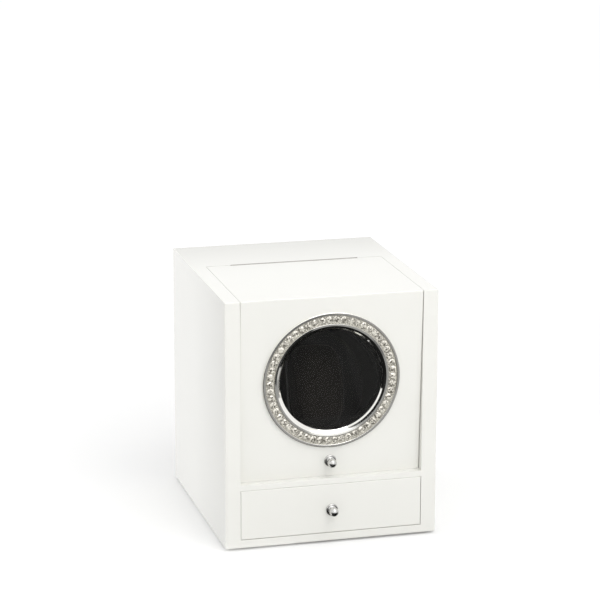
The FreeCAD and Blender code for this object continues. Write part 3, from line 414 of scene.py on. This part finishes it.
crystal = material("cut_crystal", stone_look, Metallic=0.25, Coat_Weight=1.0, Coat_Roughness=0.01)
chance = np.random.default_rng(STONE_SEED)
stone_points, stone_faces = brilliant()
spin = chance.uniform(0, 2 * np.pi, STONE_COUNT)
tip = chance.normal(0, TIP_SPREAD, (STONE_COUNT, 2))
ring_turn = np.arange(STONE_COUNT) * 2 * np.pi / STONE_COUNT
outward = np.cos(spin)[:, None] * stone_points[:, 0] - np.sin(spin)[:, None] * stone_points[:, 1]
along = np.sin(spin)[:, None] * stone_points[:, 0] + np.cos(spin)[:, None] * stone_points[:, 1]
tipped = stone_points[:, 2] + tip[:, :1] * outward + tip[:, 1:] * along
reach = STONE_RING + STONE_STRETCH * outward
stone_row = np.stack([
    reach * np.cos(ring_turn)[:, None] - along * np.sin(ring_turn)[:, None],
    reach * np.sin(ring_turn)[:, None] + along * np.cos(ring_turn)[:, None],
    STONE_GIRDLE + tipped,
], axis=2)
row_faces = [
    tuple(len(stone_points) * stone + corner for corner in face)
    for stone in range(STONE_COUNT) for face in stone_faces
]
stones = solid("crystal_row", window_middle + stone_row @ LID_AXES, row_faces, crystal)
# Painted reflection: a random brightness for each facet, painted lighter towards the girdle.
from_stone_axis = np.hypot(stone_points[:, 0], stone_points[:, 1]) / STONE_RADIUS
edge_share = np.array([from_stone_axis[list(face)].mean() for face in stone_faces])
lift = np.tile(EDGE_LIFT * edge_share**2, STONE_COUNT)
painted_sparkle = stones.data.attributes.new("painted_sparkle", "FLOAT", "FACE")
painted_sparkle.data.foreach_set("value", lift + (1 - lift) * chance.beta(SPARKLE_SPREAD, SPARKLE_SPREAD, len(lift)))
stands_for(stones, "lid", "crystal", "bezel_crystals")


def row_of(shape, shifts):
    """The points and cells of one turned shape, repeated at each shift."""
    one_cells = cells(*shape.shape[:2], False, True)
    row_cells = [one_cells + shape[..., 0].size * count for count in range(len(shifts))]
    return shape.reshape(-1, 3) + shifts[:, None], np.concatenate(row_cells)


dome = np.linspace(0, np.pi / 2, BEAD_STEPS)
bead_rise = BEAD_LOW + (BEAD_TOP - BEAD_LOW) * np.sin(dome)
bead_outline = np.stack([BEAD_RADIUS * np.cos(dome), bead_rise], axis=1)
bead = turned(np.concatenate([[(0.0, BEAD_LOW)], bead_outline]), BEAD_TURNS)
bead_turn = np.tile(ring_turn + np.pi / STONE_COUNT, 2)
bead_ring = STONE_RING + np.repeat([-BEAD_OFFSET, BEAD_OFFSET], STONE_COUNT)
bead_shift = np.stack([bead_ring * np.cos(bead_turn), bead_ring * np.sin(bead_turn), 0 * bead_turn], axis=1)
bead_points, bead_cells = row_of(bead, bead_shift)
beads = solid("stone_beads", window_middle + bead_points @ LID_AXES, bead_cells, bezel_chrome, sharp=60)
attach(beads, "lid")


# Window glass and gasket
# A flat clear pane that lies on a black rubber ring behind the cone. It is thin and bends nothing that is
# seen through it.
def glass_look(start):
    """Clear, with a trace of haze from wiping."""
    haze = noise(start, 45.0, 3.0)
    return {"Roughness": 0.01 * haze}


glass = material("clear_glass", glass_look, Base_Color=(0.02, 0.02, 0.018, 1.0), Alpha=0.16, IOR=1.9)
dress(glass, "window_glass")


def rubber_look(start):
    """Dull black, with a fine moulded grain."""
    grain = noise(start, 1500.0, 2.0)
    return {
        "Base Color": mixed(grain, (0.014, 0.014, 0.014), (0.032, 0.032, 0.031)),
        "Roughness": 0.6 + 0.2 * grain,
        "Normal": bump(grain, 0.00005),
    }


rubber = material("black_rubber", rubber_look)
dress(rubber, "window_gasket", "drive_belt", "motor_lead")

# Knobs
# Two small turned knobs in satin chrome: a ball on a neck and a round flange, each held by a screw from
# behind. Their outline is in millimetres too.
BORE = (2.03, 6.03)
BALL_MIDDLE, BALL_RADIUS = 7.5, 3.9
NECK_RADIUS = 2.8
KNOB_CORNERS = [
    (0.0, BORE[1], 0.0), (BORE[0], BORE[1], 0.1), (BORE[0], 0.0, 0.1), (5.2, 0.0, 0.05), (5.2, 1.6, 0.6),
    (NECK_RADIUS, 1.9, 0.9), (NECK_RADIUS, 4.2, 0.0),
]
KNOB_TURNS, BALL_STEPS = 64, 24
LID_KNOB_HEIGHT = 0.0715
DRAWER_KNOB_PLACE = np.array([0.0, -0.101, 0.02985])
DRAWER_AXES = np.array([(1.0, 0.0, 0.0), (0.0, 0.0, 1.0), (0.0, -1.0, 0.0)])


def satin_look(start):
    """Satin plating, a little cloudy from touch."""
    touch = noise(start, 250.0, 3.0)
    return {
        "Base Color": mixed(touch, (0.60, 0.595, 0.58), (0.70, 0.695, 0.68)),
        "Roughness": 0.20 + 0.10 * touch,
    }


satin_chrome = material("satin_chrome", satin_look, Metallic=1.0)
ball_turn = np.linspace(-math.acos(NECK_RADIUS / BALL_RADIUS), math.pi / 2, BALL_STEPS)[1:]
ball = np.stack([BALL_RADIUS * np.cos(ball_turn), BALL_MIDDLE + BALL_RADIUS * np.sin(ball_turn)], axis=1)
knob_points = turned(np.concatenate([rounded(KNOB_CORNERS, False), ball]) * MILLIMETRE, KNOB_TURNS)
knob_cells = cells(*knob_points.shape[:2], False, True)
lid_knob_points = lid_face(LID_KNOB_HEIGHT) + knob_points @ LID_AXES
lid_knob = solid("lid_pull", lid_knob_points, knob_cells, satin_chrome, sharp=40)
stands_for(lid_knob, "lid", "chrome", "lid_knob")
drawer_knob_points = DRAWER_KNOB_PLACE + knob_points @ DRAWER_AXES
drawer_knob = solid("drawer_pull", drawer_knob_points, knob_cells, satin_chrome, sharp=40)
stands_for(drawer_knob, "drawer", "chrome", "drawer_knob")


# Drawer box and inner cleats
# Thin boards stained black, glued to the back of the drawer front, and the cleats that carry the lining.
def stained_look(start):
    """Black stain with a faint long grain."""
    grain = noise(start, 500.0, 4.0, (1.0, 0.04, 1.0))
    return {
        "Base Color": mixed(grain, (0.010, 0.009, 0.008), (0.030, 0.027, 0.024)),
        "Roughness": 0.45 + 0.2 * grain,
        "Normal": bump(grain, 0.00006),
    }


stained = material("black_stain", stained_look)
dress(stained, "drawer_left_side", "drawer_right_side", "drawer_back", "drawer_bottom", "lining_cleats")


# Velvet-covered boards
# The fascia round the drum, the deck under it and the drawer's lining: thin boards covered in black velvet.
def velvet_look(start):
    """Short pile, brushed this way and that."""
    brushed = noise(start, 30.0, 3.0)
    return {"Base Color": mixed(brushed, (0.011, 0.0095, 0.0082), (0.024, 0.021, 0.0182))}


velvet = material(
    "black_velvet", velvet_look, Roughness=1.0, Specular_IOR_Level=0.15,
    Sheen_Weight=0.2, Sheen_Roughness=0.45, Sheen_Tint=(0.75, 0.72, 0.68, 1.0),
)
dress(velvet, "fascia_panel", "deck_panel", "drawer_lining")


# Drum and cradle
# A moulded cup that turns in the fascia, with a cradle in it that grips the cushion's sides.
def plastic_look(start):
    """Satin moulding with a fine spark-eroded grain."""
    grain = noise(start, 1800.0, 2.0)
    return {
        "Base Color": mixed(grain, (0.012, 0.012, 0.012), (0.024, 0.024, 0.024)),
        "Roughness": 0.36 + 0.14 * grain,
        "Normal": bump(grain, 0.00003),
    }


plastic = material("black_plastic", plastic_look)
dress(plastic, "drum_cup", "cushion_cradle")

# Watch cushion
# A stuffed velvet pillow that sits in the cradle. It is blown up from a slightly smaller oval and drawn in at
# the seams, and a covered cord runs round the seam at each end.
DRUM_LEAN = math.radians(15.0)
DRUM_AXES = np.array([
    (1.0, 0.0, 0.0),
    (0.0, math.sin(DRUM_LEAN), math.cos(DRUM_LEAN)),
    (0.0, -math.cos(DRUM_LEAN), math.sin(DRUM_LEAN)),
])
DRUM_PLACE = np.array([0.0, -0.060, 0.127])
CUSHION_BACK = 0.0125
CUSHION_MIDDLE = DRUM_PLACE - CUSHION_BACK * DRUM_AXES[2]
CUSHION_HALVES = np.array([0.0226, 0.0376, 0.0222])
SLACK = 0.96
FABRIC_GRID = 0.002
FABRIC_EASE, DRAPE_EASE = 12, 6
PRESSURE = 4.0
LAST_MOMENT = 20
SWELL_LIMIT = 0.003
SEAM_ACROSS = 0.0196
TUCK_WIDTH, TUCK_DEPTH = 0.0016, 0.022
CORD_RADIUS = 0.0007
CORD_STEPS, CORD_SIDES = 96, 8


def pillow(halves, rows=48, columns=96):
    """A pillow, [across, round, xyz]: its section is an oval, a circle's cosine and sine raised to a power
    of 0.8, which shrinks towards each end as the fourth root of one less the fourth power of the way
    across."""
    across = np.sin(np.linspace(-np.pi / 2, np.pi / 2, rows))[:, None]
    turn = np.linspace(0, 2 * np.pi, columns, endpoint=False)
    shrink = (1 - across**4).clip(0) ** 0.25
    shape = [np.sign(wave) * np.abs(wave) ** 0.8 for wave in (np.cos(turn), np.sin(turn))]
    return halves * np.stack([across + 0 * turn, shrink * shape[0], shrink * shape[1]], axis=2)


def evaluated(piece):
    """A new mesh of a piece with its modifiers worked out."""
    graph = bpy.context.evaluated_depsgraph_get()
    return bpy.data.meshes.new_from_object(piece.evaluated_get(graph))


pillow_points = pillow(SLACK * CUSHION_HALVES)
pillow_cells = cells(*pillow_points.shape[:2], False, True)
cushion = solid("cushion", CUSHION_MIDDLE + pillow_points @ DRUM_AXES, pillow_cells, velvet, sharp=180)
weave = cushion.modifiers.new("weave", "REMESH")
weave.mode = "VOXEL"
weave.voxel_size = FABRIC_GRID
ease = cushion.modifiers.new("ease", "SMOOTH")
ease.iterations = FABRIC_EASE
woven = evaluated(cushion)
cushion.modifiers.clear()
cushion.data = woven
start_places = places(woven)
stuffing = cushion.modifiers.new("stuffing", "CLOTH")
stuffing.settings.use_pressure = True
stuffing.settings.uniform_pressure_force = PRESSURE
stuffing.settings.effector_weights.gravity = 0.0
for moment in range(1, LAST_MOMENT + 1):
    scene.frame_set(moment)
swollen = places(evaluated(cushion)) - start_places
cushion.modifiers.clear()
scene.frame_set(1)
travel = np.linalg.norm(swollen, axis=1, keepdims=True)
swollen *= np.minimum(1, SWELL_LIMIT / np.maximum(travel, 1e-9))
start_places = start_places + swollen
local = (start_places - CUSHION_MIDDLE) @ DRUM_AXES.T
local *= np.minimum(1, CUSHION_HALVES / np.abs(local).max(axis=0))
tuck = np.exp(-((np.abs(local[:, :1]) - SEAM_ACROSS) / TUCK_WIDTH) ** 2)
local[:, 1:] *= 1 - TUCK_DEPTH * tuck
woven.vertices.foreach_set("co", (CUSHION_MIDDLE + local @ DRUM_AXES).astype(np.float32).ravel())
woven.shade_smooth()
drape = cushion.modifiers.new("drape", "SMOOTH")
drape.iterations = DRAPE_EASE
fullness = cushion.modifiers.new("fullness", "SUBSURF")
fullness.levels = 1
fullness.render_levels = 1
stands_for(cushion, "rotor", "black_velvet", "watch_cushion")

skin = BVHTree.FromPolygons(local.tolist(), [list(face.vertices) for face in woven.polygons])
cord_turn = np.linspace(0, 2 * np.pi, CORD_STEPS, endpoint=False)
round_cord = np.linspace(0, 2 * np.pi, CORD_SIDES, endpoint=False)[:, None, None]
rays = np.stack([0 * cord_turn, np.cos(cord_turn), np.sin(cord_turn)], axis=1)
sideways = np.array([1.0, 0.0, 0.0])
cord_section = CORD_RADIUS * (np.cos(round_cord) * rays + np.sin(round_cord) * sideways)
cord_cells = cells(CORD_SIDES, CORD_STEPS, True, True)
for side, name in ((-1, "left_piping"), (1, "right_piping")):
    middle = (side * SEAM_ACROSS, 0.0, 0.0)
    seam = np.array([skin.ray_cast(middle, ray)[0] for ray in rays.tolist()])
    piping = solid(name, CUSHION_MIDDLE + (seam + cord_section) @ DRUM_AXES, cord_cells, velvet, sharp=180)
    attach(piping, "rotor")


# Bearing, shafts and motor
# A plate of sheet aluminium on turned posts carries a bearing housing and a small geared motor. The
# drum's shaft runs in bronze bushes and is driven by a belt.
def aluminium_look(start):
    """Milled metal: short lines along X and a slight tone."""
    line = noise(start, 1800.0, 2.0, (0.08, 1.0, 1.0))
    return {
        "Base Color": mixed(line, (0.66, 0.665, 0.67), (0.80, 0.805, 0.81)),
        "Roughness": 0.32 + 0.18 * line,
        "Normal": bump(line, 0.00001),
    }


def bronze_look(start):
    """Sintered bronze: small pores in a warm metal."""
    pore = noise(start, 3000.0, 2.0)
    return {
        "Base Color": mixed(pore, (0.40, 0.23, 0.09), (0.62, 0.40, 0.18)),
        "Roughness": 0.35 + 0.2 * pore,
        "Normal": bump(pore, 0.00002),
    }


dress(
    material("aluminium", aluminium_look, Metallic=1.0),
    "mechanism_plate", "plate_standoffs", "bearing_housing", "motor_gearbox",
)
dress(material("bronze", bronze_look, Metallic=1.0), "rotor_bushes")
dress(steel, "rotor_shaft", "motor_shaft", "shaft_collar", "motor_can", "motor_screws")
dress(plastic, "rotor_pulley", "motor_pulley")


# Control board
# A small green circuit board on spacers behind the back's control plate, with the motor's lead.
def board_look(start):
    """Green mask over lighter copper tracks that run across the board."""
    place = start.node("ShaderNodeTexCoord", output="Object")
    track = start.node("ShaderNodeTexWave", inputs={"Vector": place, "Scale": 130.0, "Distortion": 3.0})
    return {
        "Base Color": mixed(track, (0.004, 0.075, 0.022), (0.012, 0.16, 0.05)),
        "Roughness": 0.3 + 0.1 * track,
    }


dress(material("green_board", board_look), "control_board")
dress(plastic, "board_spacers")

# Rear controls
# A moulded plate screwed over a cut-out in the back, with a power switch, a program knob and a socket
# for the power plug. The program's five places are printed as dots round the knob.
DOT_PLACES = np.radians([-60.0, -30.0, 0.0, 30.0, 60.0])
DOT_RING = 0.0096
DOT_RADIUS, DOT_HEIGHT = 0.0006, 0.00006
DOT_TURNS = 16
SELECTOR_PLACE = np.array([0.002, 0.1015, 0.087])
REAR_AXES = np.array([(-1.0, 0.0, 0.0), (0.0, 0.0, 1.0), (0.0, 1.0, 0.0)])


def print_look(start):
    """White ink, a little thin in places."""
    ink = noise(start, 4000.0, 1.0)
    return {"Base Color": mixed(ink, (0.55, 0.55, 0.54), (0.78, 0.78, 0.76))}


dress(
    plastic, "control_plate", "rocker_housing", "selector_switch", "dc_jack", "selector_knob",
    "power_rocker",
)
dress(steel, "control_plate_screws")
ink = material("white_print", print_look, Roughness=0.6)
dot_outline = [(0.0, 0.0), (DOT_RADIUS, 0.0), (DOT_RADIUS, DOT_HEIGHT), (0.0, DOT_HEIGHT)]
dot = turned(np.array(dot_outline), DOT_TURNS)
dot_shift = np.stack([DOT_RING * np.sin(DOT_PLACES), DOT_RING * np.cos(DOT_PLACES), 0 * DOT_PLACES], axis=1)
dot_points, dot_cells = row_of(dot, dot_shift)
marks = solid("program_marks", SELECTOR_PLACE + dot_points @ REAR_AXES, dot_cells, ink, sharp=40)
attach(marks, "cabinet")

# Stage
# A wide pale floor under soft light from all round, with a light above the front, one far in front on the
# right and one behind on the left. Mirrors see grey and dark cards in place of the floor and round the box,
# so that chrome and lacquer have their contrast.
FLOOR_REACH = 30.0
FLOOR_NEAR, FLOOR_FAR = 0.25, 1.3
floor_mesh = bpy.data.meshes.new("floor")
floor_corners = [(-FLOOR_REACH, -FLOOR_REACH, 0.0), (FLOOR_REACH, -FLOOR_REACH, 0.0)]
floor_corners += [(FLOOR_REACH, FLOOR_REACH, 0.0), (-FLOOR_REACH, FLOOR_REACH, 0.0)]
floor_mesh.from_pydata(floor_corners, [], [(0, 1, 2, 3)])


def floor_look(start):
    """Near-white paper that the camera sees a little brighter, the more so the further it is from the
    box, as a backdrop with its own light is."""
    tooth = noise(start, 300.0, 2.0)
    place = start.node("ShaderNodeTexCoord", output="Object")
    reach = start.node("ShaderNodeVectorMath", {"operation": "LENGTH"}, {0: place}, "Value")
    limits = {"Value": reach, "From Min": FLOOR_NEAR, "From Max": FLOOR_FAR}
    far = start.node("ShaderNodeMapRange", {"interpolation_type": "SMOOTHSTEP"}, limits)
    camera_ray = start.node("ShaderNodeLightPath", output="Is Camera Ray")
    return {
        "Base Color": mixed(tooth, (0.93, 0.93, 0.93), (0.95, 0.95, 0.95)),
        "Emission Color": mixed(camera_ray * (0.07 + 0.23 * far), (0.0, 0.0, 0.0), (1.0, 1.0, 1.0)),
    }


paper = material("pale_floor", floor_look, Roughness=1.0, Specular_IOR_Level=0.0, Emission_Strength=1.0)
floor_mesh.materials.append(paper)
floor = bpy.data.objects.new("floor", floor_mesh)
floor.visible_glossy = False
scene.collection.objects.link(floor)


def card_look(start):
    """A grey that goes from corner to corner of a card."""
    tone = start.node("ShaderNodeAttribute", {"attribute_name": "tone"}, output="Fac")
    return {"Emission Color": mixed(tone, (0.0, 0.0, 0.0), (1.0, 1.0, 1.0))}


card_grey = material(
    "card_grey", card_look, Base_Color=(0.0, 0.0, 0.0, 1.0), Specular_IOR_Level=0.0, Emission_Strength=1.0
)


def mirror_card(name, corners, tones):
    """A card that only mirrors see, through four corners, each with its own grey from 0 to 1."""
    mesh = bpy.data.meshes.new(name)
    mesh.from_pydata(corners, [], [(0, 1, 2, 3)])
    mesh.attributes.new("tone", "FLOAT", "POINT").data.foreach_set("value", tones)
    mesh.materials.append(card_grey)
    card = bpy.data.objects.new(name, mesh)
    card.visible_camera = False
    card.visible_diffuse = False
    card.visible_transmission = False
    card.visible_shadow = False
    scene.collection.objects.link(card)


# Level cards just under the floor, in greys for the chrome and the lacquer to mirror.
UNDER, LESS_UNDER = -0.002, -0.001


def floor_card(name, left, right, front, back, tone):
    """A level card just under the floor, of one grey."""
    corners = [(left, front, UNDER), (right, front, UNDER), (right, back, UNDER), (left, back, UNDER)]
    mirror_card(name, corners, [tone] * 4)


floor_card("front_card", -0.03, 0.55, -1.4, -0.25, 0.34)
floor_card("near_card", -0.03, 0.2, -0.25, -0.09, 0.01)
floor_card("right_card", 0.2, 0.7, -0.25, -0.09, 0.55)
floor_card("left_card", -1.6, -0.03, -2.4, -0.12, 0.01)
rim_strip = [(0.03, -0.36), (0.11, -0.36), (0.19, -0.82), (0.10, -0.82)]
mirror_card("rim_card", [(*spot, LESS_UNDER) for spot in rim_strip], [0.18] * 4)

# A small dark fin in front of the window, which the chrome mirrors.
FIN_LOW, FIN_HIGH = np.array([0.0, -0.165, 0.1115]), np.array([0.0148, -0.165, 0.1356])
FIN_DEPTH = np.array([0.0022, -0.0075, -0.0017])
fin_corners = [FIN_LOW - FIN_DEPTH, FIN_HIGH - FIN_DEPTH, FIN_HIGH + FIN_DEPTH, FIN_LOW + FIN_DEPTH]
mirror_card("fin_card", np.array(fin_corners).tolist(), [0.02] * 4)

# Two upright cards that fade to white, one behind the box and one to its left.
BACK_CARD_Y, SIDE_CARD_X = 0.5, -0.1925
back_corners = [(-0.4, 0.30), (0.7, 0.30), (0.7, 0.342), (-0.4, 0.342)]
mirror_card("back_card", [(x, BACK_CARD_Y, z) for x, z in back_corners], [0.36, 0.36, 1.0, 1.0])
side_corners = [(0.2, -0.2), (0.47, -0.2), (0.47, 0.22), (0.2, 0.22)]
mirror_card("side_card", [(SIDE_CARD_X, y, z) for y, z in side_corners], [0.3, 1.0, 1.0, 0.3])

world = bpy.data.worlds.new("studio")
world.use_nodes = True
scene.world = world
background = world.node_tree.nodes["Background"]
background.inputs["Color"].default_value = (1.0, 1.0, 1.0, 1.0)
world_start = Socket(world.node_tree)
path = {
    kind: world_start.node("ShaderNodeLightPath", output=kind)
    for kind in ("Is Camera Ray", "Is Glossy Ray", "Is Transmission Ray")
}
seen = path["Is Camera Ray"] + path["Is Glossy Ray"] + path["Is Transmission Ray"]
strength = 0.75 + 0.25 * seen.sum("MINIMUM", seen, 1.0)
world.node_tree.links.new(strength.output, background.inputs["Strength"])


def soft_light(name, place, aim, width, power):
    """A square area light at a place, turned to a point."""
    light = bpy.data.lights.new(name, "AREA")
    light.size = width
    light.energy = power
    lamp = bpy.data.objects.new(name, light)
    lamp.location = place
    lamp.rotation_euler = (Vector(aim) - Vector(place)).to_track_quat("-Z", "Y").to_euler()
    scene.collection.objects.link(lamp)


soft_light("above", (0.2, -0.6, 1.15), (0.0, -0.05, 0.2), 0.8, 4.5)
soft_light("right", (0.35, -1.9, 0.9), (0.0, 0.0, 0.12), 1.6, 4.8)
soft_light("left", (-0.9, 0.6, 0.7), (-0.09, 0.05, 0.12), 0.6, 2.5)

scene.view_settings.view_transform = "Standard"
